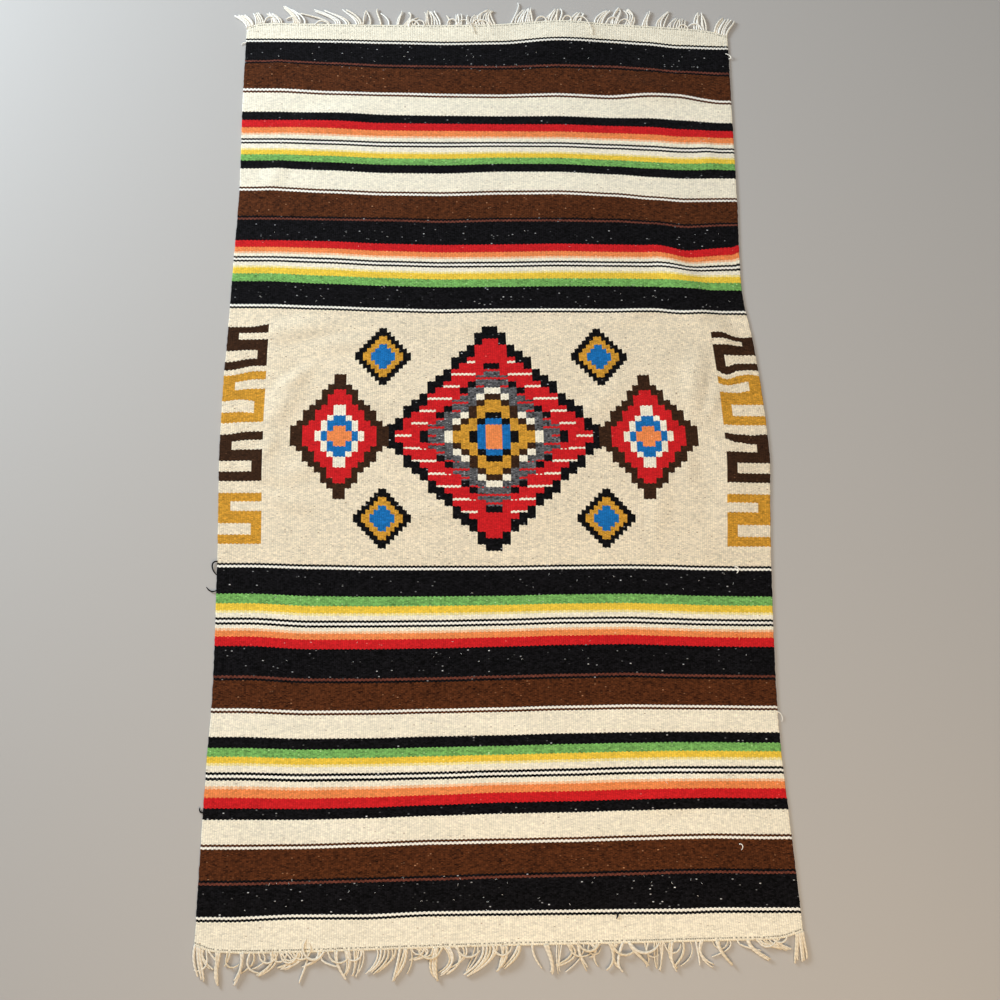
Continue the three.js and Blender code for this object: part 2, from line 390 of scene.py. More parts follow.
# The frets that run down both selvedges of the panel: where each starts, from the middle of the panel
# towards the far end, how long it is, in millimetres, and its yarn.
FRETS = ((203, 73, "umber"), (121, 96, "gold"), (9, 93, "umber"), (-103, 97, "gold"))
# A fret's rows from its far edge: their share of its length, and where they start and end across its depth.
FRET_ROWS = ((0.17, 0, 76), (0.19, 0, 23), (0.24, 0, 76), (0.22, 58, 76), (0.18, 0, 76))
FRET_SCALE = 100.0  # a ramp holds millimetres as a share of this

# The stepped diamonds of the centre: yarns from the middle out to each share of the diamond's size.
MEDALLION = (
    (0.07, "orange"), (0.15, "blue"), (0.19, "black"), (0.31, "gold"), (0.38, "umber"), (0.42, "cream"),
    (0.60, "grey"), (0.64, "black"), (0.88, "red"), (1.0, "black"),
)
SIDE_DIAMOND = ((0.16, "orange"), (0.34, "blue"), (0.44, "cream"), (0.74, "red"), (1.0, "umber"))
SMALL_DIAMOND = ((0.30, "blue"), (0.42, "cream"), (0.72, "gold"), (1.0, "black"))


def linear(colour):
    """An sRGB colour of 0 to 255 as scene-linear values."""
    shares = [c / 255 for c in colour]
    return tuple(c / 12.92 if c <= 0.04045 else ((c + 0.055) / 1.055) ** 2.4 for c in shares)


class Graph:
    """Short names for the nodes that the materials are made of."""

    def __init__(self, name):
        self.material = bpy.data.materials.new(name)
        self.material.use_nodes = True
        self.tree = self.material.node_tree
        self.tree.nodes.clear()

    def node(self, kind, inputs=(), **settings):
        """A node with its settings, and inputs by name or by number: each a value or another's output."""
        made = self.tree.nodes.new(kind)
        for key, value in settings.items():
            setattr(made, key, value)
        pairs = inputs.items() if isinstance(inputs, dict) else enumerate(inputs)
        for key, value in pairs:
            if isinstance(value, bpy.types.NodeSocket):
                self.tree.links.new(value, made.inputs[key])
            else:
                made.inputs[key].default_value = value
        return made

    def math(self, operation, *values, clamp=False):
        return self.node("ShaderNodeMath", values, operation=operation, use_clamp=clamp).outputs[0]

    def add(self, a, b):
        return self.math("ADD", a, b)

    def sub(self, a, b):
        return self.math("SUBTRACT", a, b)

    def mul(self, a, b):
        return self.math("MULTIPLY", a, b)

    def above(self, a, b):
        return self.math("GREATER_THAN", a, b)

    def below(self, a, b):
        return self.math("LESS_THAN", a, b)

    def size(self, a):
        return self.math("ABSOLUTE", a)

    def floor(self, a):
        return self.math("FLOOR", a)

    def mix(self, factor, a, b):
        """Numbers: a where factor is 0, b where it is 1."""
        inputs = {0: factor, 2: a, 3: b}
        return self.node("ShaderNodeMix", inputs, data_type="FLOAT", clamp_factor=True).outputs[0]

    def blend(self, factor, a, b, how="MIX"):
        """Colours, in the same way or by another way of blending."""
        inputs = {0: factor, 6: a, 7: b}
        settings = {"data_type": "RGBA", "blend_type": how, "clamp_factor": True}
        return self.node("ShaderNodeMix", inputs, **settings).outputs[2]

    def darken(self, colour, light):
        """A colour times a number for light."""
        light_colour = self.node("ShaderNodeCombineColor", (light, light, light)).outputs[0]
        return self.blend(1.0, colour, light_colour, "MULTIPLY")

    def bump(self, strength, millimetres, height):
        inputs = {"Strength": strength, "Distance": millimetres * MM, "Height": height}
        return self.node("ShaderNodeBump", inputs).outputs[0]

    def attribute(self, name):
        return self.node("ShaderNodeAttribute", attribute_name=name).outputs["Fac"]

    def vector(self, x=0.0, y=0.0, z=0.0):
        return self.node("ShaderNodeCombineXYZ", (x, y, z)).outputs[0]

    def noise(self, place, scale, detail=2.0, roughness=0.5):
        inputs = {"Vector": place, "Scale": scale, "Detail": detail, "Roughness": roughness}
        return self.node("ShaderNodeTexNoise", inputs).outputs[0]

    def uv(self, name):
        made = self.node("ShaderNodeUVMap", uv_map=name)
        return self.node("ShaderNodeSeparateXYZ", [made.outputs[0]]).outputs

    def steps(self, place, stops):
        """A ramp of flat steps: stops are (position, colour with alpha)."""
        made = self.node("ShaderNodeValToRGB", [place])
        ramp = made.color_ramp
        ramp.interpolation = "CONSTANT"
        for _ in range(len(stops) - 2):
            ramp.elements.new(0.5)
        for element, (position, _) in zip(ramp.elements, stops):
            element.position = position
        for element, (_, colour) in zip(ramp.elements, stops):
            element.color = colour
        return made.outputs

    def finish(self, inputs):
        """The material, with the inputs of its principled shader."""
        shader = self.node("ShaderNodeBsdfPrincipled", inputs).outputs[0]
        self.node("ShaderNodeOutputMaterial", {"Surface": shader})
        return self.material


def yarn_value(name):
    return YARN_NUMBER[name] / YARN_SHARE


def pick_stops(rows, first, count):
    """Ramp stops for rows of (colour, picks), which start at pick number first of a ramp of count picks."""
    stops = []
    pick = first
    for colour, picks in rows:
        position = (pick - BEFORE_SAMPLE) / count
        if position < 1 and (pick + picks) > 0:
            stops.append((max(position, 0.0), colour))
        pick += picks
    return stops


def weave_cell(g, x, y):
    """The bead of weft at a place, given in millimetres: its warp, its pair of picks, how far across and
    along the bead the place is, from -1 to 1, and the bead's own place along the cloth in pairs. Wefts pass
    over every other warp, so beads of neighbouring warps are half a pair apart."""
    warp_place = g.mul(x, 1 / WARP_PITCH)
    warp = g.floor(warp_place)
    offset = g.mul(g.math("FLOORED_MODULO", warp, 2.0), 0.5)
    pair_place = g.mul(y, 1 / PICK)
    pick = g.floor(g.add(g.sub(pair_place, offset), 0.5))
    middle = g.add(pick, offset)
    across = g.sub(g.mul(g.sub(warp_place, warp), 2.0), 1.0)
    along = g.mul(g.sub(pair_place, middle), 2.0)
    return warp, pick, across, along, middle


def band_yarn(g, pick):
    """The stripes' yarn at a pick, on two ramps because one can't hold enough picks."""
    distance = g.size(pick)
    rows = [((yarn_value(name),) * 3 + (1,), picks) for name, picks in PICKS]
    inner = g.steps(g.mul(g.add(distance, 0.5), 1 / RAMP_PICKS), pick_stops(rows, 0, RAMP_PICKS))
    outer_place = g.mul(g.sub(distance, RAMP_PICKS - 0.5), 1 / RAMP_PICKS)
    outer = g.steps(outer_place, pick_stops(rows, -RAMP_PICKS, RAMP_PICKS))
    return g.mix(g.above(distance, RAMP_PICKS - 0.5), inner[0], outer[0])


def lay_frets(g, yarn, from_selvedge, pick):
    """The stepped frets of the two selvedges over the yarn so far."""
    rows = []
    at = -HALF_PANEL_PICKS
    nothing = (1.0, 0.0, 0.0, 1.0)
    for start, length, name in reversed(FRETS):
        foot = round((start - length) / PICK)
        rows.append((nothing, foot - at))
        at = foot
        for share, low, high in reversed(FRET_ROWS):
            picks = round(share * length / PICK)
            rows.append(((low / FRET_SCALE, high / FRET_SCALE, yarn_value(name), 1.0), picks))
            at += picks
    span = 2 * HALF_PANEL_PICKS
    rows.append((nothing, span))
    ramp_place = g.mul(g.add(pick, HALF_PANEL_PICKS + 0.5), 1 / span)
    ramp = g.steps(ramp_place, pick_stops(rows, 0, span))
    reach = g.node("ShaderNodeSeparateColor", [ramp[0]]).outputs
    inside = g.mul(
        g.above(from_selvedge, g.mul(reach[0], FRET_SCALE)),
        g.below(from_selvedge, g.mul(reach[1], FRET_SCALE)),
    )
    in_panel = g.below(g.size(pick), HALF_PANEL_PICKS)
    return g.mix(g.mul(inside, in_panel), yarn, reach[2])


def diamond_size(g, x, y, centre, half_size, step):
    """How far out a place lies in a stepped diamond: 0 in the middle, 1 at its outline."""
    dx = g.size(g.sub(x, centre[0]))
    dy = g.size(g.sub(y, centre[1]))
    stepped_x = g.mul(g.floor(g.mul(dx, 1 / step[0])), step[0] / half_size[0])
    stepped_y = g.mul(g.floor(g.mul(dy, 1 / step[1])), step[1] / half_size[1])
    return g.add(stepped_x, stepped_y)


def lay_diamond(g, yarn, size, layers):
    """One stepped diamond's yarns over the yarn so far."""
    stops = []
    start = 0.0
    for share, name in layers:
        stops.append((start, (yarn_value(name),) * 3 + (1,)))
        start = share
    ramp = g.steps(size, stops)
    return g.mix(g.below(size, 1.0), yarn, ramp[0])


def lay_centre(g, yarn, x, y, pick):
    """The centre of the panel: a stepped medallion, a diamond at each side and four small ones between."""
    away_x = g.size(x)
    away_y = g.size(y)
    size = diamond_size(g, away_x, away_y, (0, 0), (190, 206), (WARP_PITCH * 4, PICK * 6))
    yarn = lay_diamond(g, yarn, size, MEDALLION)
    in_red = g.mul(g.above(size, 0.70), g.below(size, 0.88))
    slit = g.below(g.math("FLOORED_MODULO", pick, 12.0), 2.0)
    yarn = g.mix(g.mul(g.mul(in_red, slit), g.above(away_x, 30.0)), yarn, yarn_value("cream"))
    in_grey = g.mul(g.above(size, 0.50), g.below(size, 0.60))
    hatch = g.below(g.math("FLOORED_MODULO", pick, 8.0), 2.0)
    yarn = g.mix(g.mul(in_grey, hatch), yarn, yarn_value("red"))
    size = diamond_size(g, away_x, away_y, (275, 0), (84, 112), (WARP_PITCH * 3, PICK * 5))
    yarn = lay_diamond(g, yarn, size, SIDE_DIAMOND)
    size = diamond_size(g, away_x, away_y, (196, 152), (50, 52), (WARP_PITCH * 2, PICK * 4))
    return lay_diamond(g, yarn, size, SMALL_DIAMOND)


def web_material():
    """Weft-faced tapestry weave: a bead of yarn over each warp, in stripes, frets and diamonds."""
    g = Graph("woven wool")
    u, v, _ = g.uv("Cloth")
    x = g.mul(u, 1 / MM)
    y = g.mul(v, 1 / MM)
    warp, pick, across, along, middle = weave_cell(g, x, y)
    bead_x = g.mul(g.add(warp, 0.5), WARP_PITCH)
    bead_y = g.mul(middle, PICK)

    yarn = band_yarn(g, pick)
    from_selvedge = g.sub(WOVEN_WIDTH / 2, g.size(bead_x))
    yarn = lay_frets(g, yarn, from_selvedge, pick)
    yarn = lay_centre(g, yarn, bead_x, bead_y, pick)

    yarn_place = g.add(yarn, 0.5 / YARN_SHARE)
    colours = [(yarn_value(n), linear(row[0]) + (row[1],)) for n, row in YARNS.items()]
    flecks = [(yarn_value(n), linear(row[2]) + (row[3] * 10,)) for n, row in YARNS.items()]
    yarn_colour, heather = g.steps(yarn_place, colours)
    fleck_colour, fleck_share = g.steps(yarn_place, flecks)

    # Each bead's own shade, streaks along the yarn, soft bars along the weft and large faint patches.
    dice = g.node("ShaderNodeTexWhiteNoise", {"Vector": g.vector(warp, pick)}, noise_dimensions="2D")
    dice_parts = g.node("ShaderNodeSeparateColor", [dice.outputs["Color"]]).outputs
    streak = g.noise(g.vector(g.mul(x, 0.11), g.mul(pick, 3.7)), 1.0, 1.0)
    bar = g.noise(g.vector(g.mul(x, 0.004), g.mul(bead_y, 0.09)), 1.0, 1.0)
    patch = g.noise(g.vector(g.mul(x, 0.011), g.mul(y, 0.011), 3.0), 1.0, 2.0)
    own = g.add(g.mul(g.sub(streak, 0.5), 2.6), g.mul(g.sub(dice_parts[0], 0.5), 0.9))
    shade = g.add(1.0, g.mul(own, heather))
    shade = g.add(shade, g.mul(g.sub(bar, 0.5), 0.14))
    shade = g.add(shade, g.mul(g.sub(patch, 0.5), 0.12))
    # The beads are round: their borders lie in shadow, which is painted into the colour as painted shade
    # towards each bead's edge.
    round_x = g.sub(1.0, g.mul(across, across))
    round_y = g.sub(1.0, g.mul(along, along))
    profile = g.math("SQRT", g.math("MAXIMUM", g.mul(round_x, round_y), 0.0))
    shade = g.mul(shade, g.add(0.78, g.mul(profile, 0.30)))
    shade = g.math("MAXIMUM", shade, 0.1)

    # Flecks of other fibre: some beads, each by its own strength, and in the middle of the bead only.
    flecked = g.below(dice_parts[1], g.mul(fleck_share, 0.1))
    strength = g.mul(g.mul(dice_parts[2], dice_parts[2]), g.math("POWER", profile, 2.0))
    colour = g.blend(g.mul(flecked, strength), yarn_colour, fleck_colour)
    # A row of small gaps just inside each end, where the first wefts turn round the warps: the shade in the
    # gaps is painted into the colour as dark spots.
    off_row = g.size(g.sub(g.attribute("from_end"), END_GAPS))
    painted_gap_shade = g.mul(g.below(off_row, 1.1), g.below(g.size(g.sub(across, 0.2)), 0.75))
    painted_gap_shade = g.mul(painted_gap_shade, g.above(g.add(dice_parts[2], g.math("FLOORED_MODULO", warp, 2.0)), 0.6))
    shade = g.mul(shade, g.mix(painted_gap_shade, 1.0, 0.35))
    # The colour takes the yarn's own tone together with the painted shade of the bead borders and the gaps.
    colour = g.darken(colour, shade)

    fibre = g.noise(g.vector(g.mul(x, 0.9), g.mul(y, 2.6)), 1.0, 2.0, 0.6)
    height = g.add(profile, g.mul(fibre, 0.35))
    inputs = {
        "Base Color": colour,
        "Roughness": g.add(0.82, g.mul(fibre, 0.16)),
        "Specular IOR Level": 0.06,
        "Sheen Weight": 0.015,
        "Sheen Roughness": 0.6,
        "Normal": g.bump(0.8, 0.7, height),
    }
    return g.finish(inputs)


def cotton_material():
    """Loosely twisted cotton cord, with its own shade in each strand and shade painted into the grooves
    between the plies.
    """
    g = Graph("cotton warp")
    around, along, _ = g.uv("Strand")
    turn = g.mul(g.sub(around, g.mul(along, 0.5 / (Strands.TWIST_PITCH * MM))), 4 * math.pi)
    ply = g.add(0.5, g.mul(g.math("COSINE", turn), 0.5))
    fine_turn = g.mul(g.sub(g.mul(around, 2.0), g.mul(along, 1 / (3.2 * MM))), 4 * math.pi)
    fine = g.add(0.5, g.mul(g.math("COSINE", fine_turn), 0.5))
    shade = g.attribute("shade")
    fibre = g.noise(g.vector(g.mul(around, 6.0), g.mul(along, 900.0), shade), 1.0, 2.0)
    # Darker in the grooves between the plies: painted shade, on top of the strand's own tone and fibre.
    light = g.add(0.74, g.mul(ply, 0.16))
    light = g.add(light, g.mul(shade, 0.12))
    light = g.add(light, g.mul(g.sub(fibre, 0.5), 0.16))
    tint = g.blend(shade, linear((238, 219, 186)) + (1,), linear((250, 247, 238)) + (1,))
    inputs = {
        "Base Color": g.darken(tint, light),
        "Roughness": g.add(0.8, g.mul(fibre, 0.15)),
        "Specular IOR Level": 0.2,
        "Sheen Weight": 0.15,
        "Normal": g.bump(0.7, 0.3, g.add(g.mul(fine, 0.5), fibre)),
    }
    return g.finish(inputs)


def yarn_end_material(name, colour):
    """A loose end of weft yarn."""
    g = Graph(name)
    around, along, _ = g.uv("Strand")
    fibre = g.noise(g.vector(g.mul(around, 5.0), g.mul(along, 700.0)), 1.0, 2.0)
    light = g.add(0.7, g.mul(fibre, 0.6))
    inputs = {
        "Base Color": g.darken(linear(colour) + (1,), light),
        "Roughness": 0.9,
        "Specular IOR Level": 0.2,
        "Normal": g.bump(0.6, 0.3, fibre),
    }
    return g.finish(inputs)


# ---- The web ----
WEB_COLUMNS = 116
WEB_ROWS = 372
EDGE_ROUND = 2.6  # millimetres over which the wall rounds off at its edges
EDGE_STEPS = (0.0, 0.5, 1.3, 2.6, 5.0)  # millimetres from an edge to its first grid lines
SELVEDGE_SWAY = 0.45  # millimetres by which a row may stand in or out at the selvedges
SELVEDGE_REACH = 6  # millimetres over which that fades out
BAKE_CELL = 1.8  # the narrowest strip of cloth on the bake map, millimetres
FINE_LIFT = 0.5  # how far the cloth's own unevenness lifts it, millimetres


def grid_lines(length, cells):
    """Shares of length: close together at both edges and even between."""
    edge = list(EDGE_STEPS)
    middle = np.linspace(edge[-1], length - edge[-1], cells - 2 * (len(edge) - 1) + 1)
    far_edge = [length - e for e in reversed(edge[:-1])]
    return np.array(edge[:-1] + list(middle) + far_edge) / length


def waviness(x, y):
    """The slight unevenness of cloth that has been folded and laid out again, from 0 to 1."""
    waves = (
        np.sin(x / 47 + 1.7 * np.sin(y / 160)) * np.sin(y / 61 + 0.8)
        + np.sin(x / 83 - y / 117 + 2.1)
        + np.sin(x / 39 + y / 71 + 1.3 * np.sin(x / 210))
    )
    return 0.5 + waves / 6


def half_wall(x, y, across, along):
    """Half the cloth's thickness, which rounds off to nothing at its edges."""
    width = np.ptp(x, axis=1)[:, None]
    length = np.ptp(y, axis=0)[None]
    edge = np.minimum(np.minimum(across, 1 - across) * width, np.minimum(along, 1 - along) * length)
    share = np.clip(edge / EDGE_ROUND, 0, 1)
    return WEB_THICKNESS / 2 * np.sqrt(1 - (1 - share) ** 2)


def make_web():
    """A closed shell: a top and an underside grid that share the rim."""
    columns = grid_lines(WOVEN_WIDTH, WEB_COLUMNS)
    rows = grid_lines(WOVEN_LENGTH, WEB_ROWS)
    across, along = np.meshgrid(columns, rows)
    x, y = web_place(across, along)
    dice = random.Random(7)
    sway = np.array([[dice.uniform(-SELVEDGE_SWAY, SELVEDGE_SWAY) for _ in (0, 1)] for _ in rows])
    for side, from_side in enumerate((across, 1 - across)):
        x = x + sway[:, side:side + 1] * np.clip(1 - from_side * WOVEN_WIDTH / SELVEDGE_REACH, 0, 1)
    half = half_wall(x, y, across, along)
    raised = lift(x, y, RIPPLES + PUCKERS) + FINE_LIFT * waviness(x, y) * (half / half.max())
    middle = raised + WEB_THICKNESS / 2
    cloth = np.stack([(across - 0.5) * WOVEN_WIDTH * MM, (y - weft_drift(x, y)) * MM], axis=-1)
    from_end = np.minimum(along, 1 - along) * WOVEN_LENGTH

    height, width = x.shape
    numbers = np.arange(height * width).reshape(height, width)
    inner = np.zeros((height, width), bool)
    inner[1:-1, 1:-1] = True
    under_numbers = numbers.copy()
    under_numbers[inner] = height * width + np.arange(inner.sum())
    points = np.concatenate([
        place(x, y, middle + half).reshape(-1, 3),
        place(x, y, middle - half)[inner],
    ])

    def cells(n, flip):
        quads = np.stack([n[:-1, :-1], n[:-1, 1:], n[1:, 1:], n[1:, :-1]], axis=-1).reshape(-1, 4)
        return quads[:, ::-1] if flip else quads

    faces = np.concatenate([cells(numbers, False), cells(under_numbers, True)])
    cloth_all = np.concatenate([cloth.reshape(-1, 2), cloth[inner]])
    from_end_all = np.concatenate([from_end.ravel(), from_end[inner]])
    cloth_corners = cloth_all[faces.ravel()]

    # The bake map: the top over most of the square and the underside beside it.
    spread_x = np.cumsum(np.r_[0, np.maximum(np.diff(columns) * WOVEN_WIDTH, BAKE_CELL)])
    spread_y = np.cumsum(np.r_[0, np.maximum(np.diff(rows) * WOVEN_LENGTH, BAKE_CELL)])
    sheet_u, sheet_v = np.meshgrid(spread_x / spread_x[-1], spread_y / spread_y[-1])
    flat_u, flat_v = cells(sheet_u, False).ravel(), cells(sheet_v, False).ravel()
    under_u, under_v = cells(sheet_u, True).ravel(), cells(sheet_v, True).ravel()
    bake = np.concatenate([
        np.stack([0.008 + flat_u * 0.585, 0.008 + flat_v * 0.984], axis=-1),
        np.stack([0.607 + under_u * 0.385, 0.008 + under_v * 0.984], axis=-1),
    ])
    uv_maps = {"OFBake": bake, "Cloth": cloth_corners}
    web = new_mesh("web_cloth", points, faces.tolist(), uv_maps, {"from_end": from_end_all})
    web.data.uv_layers.active = web.data.uv_layers["Cloth"]
    web.data.uv_layers["Cloth"].active_render = True
    web.data.materials.append(web_material())
    return web


# ---- The fringe ----
# Clumps of loose warp ends, each row: at and spread across the cloth, how many strands, how far the tips lean
# to the right, how far they reach out, how far they bow to the right on the way, and the cord's radius.
# All in laid millimetres.
NEAR_CLUMPS = (
    (-475, 3, 2, 16, 30, -3, 1.3), (-467, 4, 1, 14, 27, 8, 1.5), (-451, 8, 3, 1, 49, -1, 1.8),
    (-432, 3, 1, -6, 22, 0, 1.4), (-413, 5, 2, -8, 45, 3, 2.2), (-395, 3, 1, -16, 28, 6, 1.5),
    (-380, 2, 1, -20, 26, 9, 1.4), (-364, 8, 3, -24, 36, 8, 1.5), (-338, 26, 5, -8, 24, 12, 1.3),
    (-322, 10, 3, -30, 24, 10, 1.3), (-308, 2, 1, -12, 49, -1, 1.9), (-290, 5, 2, -26, 24, 5, 1.4),
    (-279, 2, 1, 22, 26, -14, 1.6), (-262, 6, 2, 18, 43, -2, 1.7), (-245, 8, 3, -2, 38, 5, 1.4),
    (-226, 16, 5, -8, 42, 2, 1.2), (-182, 30, 6, -22, 36, 5, 1.5), (-160, 3, 1, -9, 46, -1, 1.9),
    (-151, 4, 2, -17, 47, 0, 2.0), (-143, 2, 1, -3, 42, 2, 1.3), (-127, 18, 4, -14, 18, 10, 1.3),
    (-103, 8, 3, 2, 48, -4, 2.1), (-86, 10, 3, -10, 40, 14, 1.6), (-70, 4, 2, -16, 42, 12, 1.4),
    (-58, 10, 2, -22, 33, 9, 1.5), (-38, 8, 2, -16, 38, 0, 1.2), (-16, 24, 5, -34, 43, 4, 1.8),
    (6, 10, 3, -10, 37, 3, 2.1), (30, 4, 2, -25, 34, 1, 1.9), (52, 2, 1, 16, 36, -2, 1.7),
    (74, 8, 2, 6, 42, 5, 2.3), (95, 10, 3, 0, 42, 0, 1.1), (111, 6, 2, -22, 34, 12, 1.4),
    (126, 6, 2, 14, 38, -2, 1.5), (134, 3, 1, -28, 40, 1, 1.3), (146, 6, 2, -2, 20, 9, 1.3),
    (156, 3, 1, 3, 34, -8, 2.0), (175, 3, 1, -8, 38, 8, 2.0), (187, 5, 2, 6, 38, -8, 1.9),
    (197, 4, 1, -2, 42, -7, 2.0), (208, 4, 2, 27, 36, 8, 2.2), (232, 3, 1, 6, 33, 3, 1.4),
    (254, 14, 5, -1, 42, 2, 1.3), (275, 6, 2, 9, 42, -6, 2.0), (293, 4, 1, -12, 38, 2, 1.7),
    (305, 2, 1, -17, 38, 9, 1.0), (314, 3, 1, 4, 38, -1, 1.6), (324, 5, 2, 17, 37, -9, 1.9),
    (349, 5, 2, 20, 34, 0, 2.4), (368, 2, 1, -32, 24, 10, 1.0), (382, 3, 1, 36, 15, -6, 1.3),
    (398, 4, 2, 32, 30, 0, 2.1), (425, 28, 6, 34, 14, 0, 1.3), (448, 6, 2, 14, 18, -6, 1.5),
)
FAR_CLUMPS = (
    (-478, 16, 5, -10, 26, 0, 1.5), (-444, 20, 6, -14, 24, 0, 1.4), (-404, 14, 4, -26, 38, 2, 1.9),
    (-388, 4, 1, -28, 32, 0, 1.5), (-341, 6, 2, -58, 24, 0, 1.5), (-322, 10, 3, -46, 32, 2, 1.6),
    (-302, 8, 2, -46, 34, 0, 1.6), (-280, 12, 3, -30, 34, 0, 1.8), (-272, 3, 1, 4, 32, 0, 1.5),
    (-258, 3, 1, -12, 32, 0, 1.5), (-236, 3, 1, -11, 39, 0, 1.7), (-221, 3, 1, -15, 28, 0, 1.5),
    (-203, 3, 2, 6, 32, 0, 1.5), (-188, 8, 3, 8, 28, 5, 1.4), (-176, 12, 3, 12, 16, -8, 1.4),
    (-133, 30, 6, -8, 33, 0, 1.5), (-101, 3, 1, -8, 22, 0, 1.5), (-82, 12, 4, -2, 26, 0, 1.6),
    (-63, 4, 2, 0, 22, 0, 1.6), (-50, 14, 3, 6, 22, -8, 1.4), (-24, 30, 7, 4, 34, -8, 1.5),
    (22, 3, 1, 12, 46, 6, 1.3), (48, 34, 8, 8, 32, 0, 1.7), (104, 30, 6, 8, 26, 4, 1.6),
    (150, 22, 5, 10, 20, 4, 1.5), (196, 16, 4, 18, 30, 0, 1.7), (226, 12, 4, 14, 36, 0, 1.5),
    (256, 16, 5, -4, 36, 8, 1.4), (288, 12, 3, 8, 34, 0, 1.6), (318, 16, 4, 16, 34, 0, 1.4),
    (350, 34, 7, 8, 22, 0, 1.3), (398, 24, 6, 0, 40, 0, 1.5), (430, 10, 3, 16, 34, 0, 2.0),
)
TIP_SPREAD = 0.4  # a clump's tips lie closer together than its roots
RING_STEP = 2.2  # millimetres between a strand's rings
ROOT_DEPTH = 1.5  # millimetres that a strand starts inside the web
CORD_SWELL = 1.3  # loose cords are this much thicker than where they are held in the weave

# The bundled selvedge warps: side and end as in the CAD part, root and tip width, reach, lean and how many
# cords.
TASSELS = (
    ("tassel_far_left", -1, 1, 13, 24, 26, -22, 5),
    ("tassel_far_right", 1, 1, 13, 12, 36, 16, 3),
    ("tassel_near_left", -1, -1, 11, 12, 50, 8, 3),
    ("tassel_near_right", 1, -1, 13, 27, 44, -1, 5),
)
TASSEL_CORD = 2.3  # millimetres from the floor to the middle of a tassel's cord


def end_shade(dice, end):
    """A strand's own shade: the near fringe is tanner and darker than the far one."""
    return dice.uniform(0.0, 0.5) if end < 0 else dice.uniform(0.5, 1.0)


def end_place(x, end):
    """Laid y of a woven end (1 far, -1 near) at laid x."""
    along = (end + 1) / 2
    left = float(web_place(0.0, along)[0])
    right = float(web_place(1.0, along)[0])
    return float(web_place(np.clip((x - left) / (right - left), 0.0, 1.0), along)[1])


def strand_route(dice, root_x, end, lean, reach, bow, radius, height):
    """A loose warp end: out of the woven edge, down to the floor and along it to the tip."""
    root_y = end_place(root_x, end)
    tip = (root_x + lean + dice.uniform(-2, 2), root_y + end * reach, radius + height * 0.3)
    inside = (root_x, root_y - end * ROOT_DEPTH, WEB_THICKNESS / 2)
    knee = (root_x + bow * 1.1 + dice.uniform(-2, 2), root_y + end * reach * 0.42, radius + height)
    wrist = (
        root_x + lean * 0.75 + bow * 1.3 + dice.uniform(-3, 3),
        root_y + end * reach * 0.78,
        radius + height,
    )
    run = math.dist(inside, knee) + math.dist(knee, wrist) + math.dist(wrist, tip)
    return bezier((inside, knee, wrist, tip), max(8, round(run / RING_STEP)))


def make_fringe(name, end, clumps, curls, laid_back, seed):
    """One end's fringe: its clumps, its curls and the ends that lie back over the cloth."""
    dice = random.Random(seed)
    strands = Strands()
    for at, spread, count, lean, reach, bow, radius in clumps:
        for k in range(count):
            share = (k + 0.5) / count - 0.5
            root_x = at + spread * share * 1.15
            sway = lean - spread * share * (1 - TIP_SPREAD) + dice.uniform(-2.5, 2.5)
            length = reach * dice.uniform(0.86, 1.03)
            bowed = bow + dice.uniform(-2.5, 2.5)
            thick = radius * CORD_SWELL * dice.uniform(0.88, 1.12)
            route = strand_route(dice, root_x, end, sway, length, bowed, thick, dice.uniform(0, 2.2))
            strands.add(route, thick, dice.uniform(0.45, 0.8), end_shade(dice, end), dice.uniform(0, 3))
    add_curls(strands, dice, curls, end)
    for points, cord in laid_back:
        strands.add(bezier(points, 22), cord, 0.7, 0.6)
    fringe = strands.build(name)
    fringe.data.materials.append(COTTON)
    return fringe


# Warp ends that curl round: where each leaves the cloth, the lean it sets out with in degrees, how far it
# goes straight, the radius that it then turns with, how far it turns (to the right if positive) and its cord.
NEAR_CURLS = (
    (-470, 10, 14, 12, -150, 1.3), (-436, -6, 10, 9, 190, 1.3), (-400, -14, 8, 14, 130, 1.6),
    (-386, 20, 6, 12, 200, 1.4), (-352, 24, 8, 11, 230, 1.4), (-340, -18, 6, 10, -260, 1.3),
    (-331, 30, 5, 12, 240, 1.5), (-322, -30, 8, 9, -210, 1.3), (-281, -34, 6, 14, -235, 1.9),
    (-276, 26, 8, 15, 170, 1.4), (-247, 22, 8, 10, 220, 1.3), (-129, 10, 5, 9, 240, 1.3),
    (-121, -22, 5, 8, -250, 1.2), (-92, -30, 8, 16, -150, 1.8), (-70, 34, 8, 16, 140, 1.6),
    (-12, 30, 8, 12, 190, 1.6), (108, 28, 8, 18, 120, 1.4), (143, -16, 5, 8, 230, 1.3),
    (160, -40, 6, 15, -160, 1.9), (178, 34, 10, 17, 120, 1.8), (207, 42, 8, 22, 130, 2.1),
    (238, -20, 8, 9, 210, 1.3), (262, 24, 10, 10, 200, 1.3), (366, -24, 6, 10, -240, 1.0),
    (412, 40, 6, 13, 140, 1.4), (438, 50, 5, 10, 170, 1.4),
)
FAR_CURLS = (
    (-470, 24, 8, 10, 170, 1.4), (-396, -40, 10, 14, -110, 1.6), (-338, -60, 9, 14, -120, 1.5),
    (-171, 30, 6, 8, 250, 1.4), (-160, -34, 6, 8, -250, 1.4), (-84, -20, 7, 8, -220, 1.6),
    (-50, 40, 6, 12, 190, 1.4), (-30, -30, 7, 10, -200, 1.3), (70, 30, 7, 9, 200, 1.6),
    (124, 24, 6, 7, 280, 1.4), (210, 30, 8, 11, 150, 1.5), (262, -30, 8, 10, -170, 1.3),
    (352, 40, 5, 9, 200, 1.3), (402, -30, 8, 12, -150, 1.4),
)
CURL_STEP = 2.0  # millimetres between a curl's rings

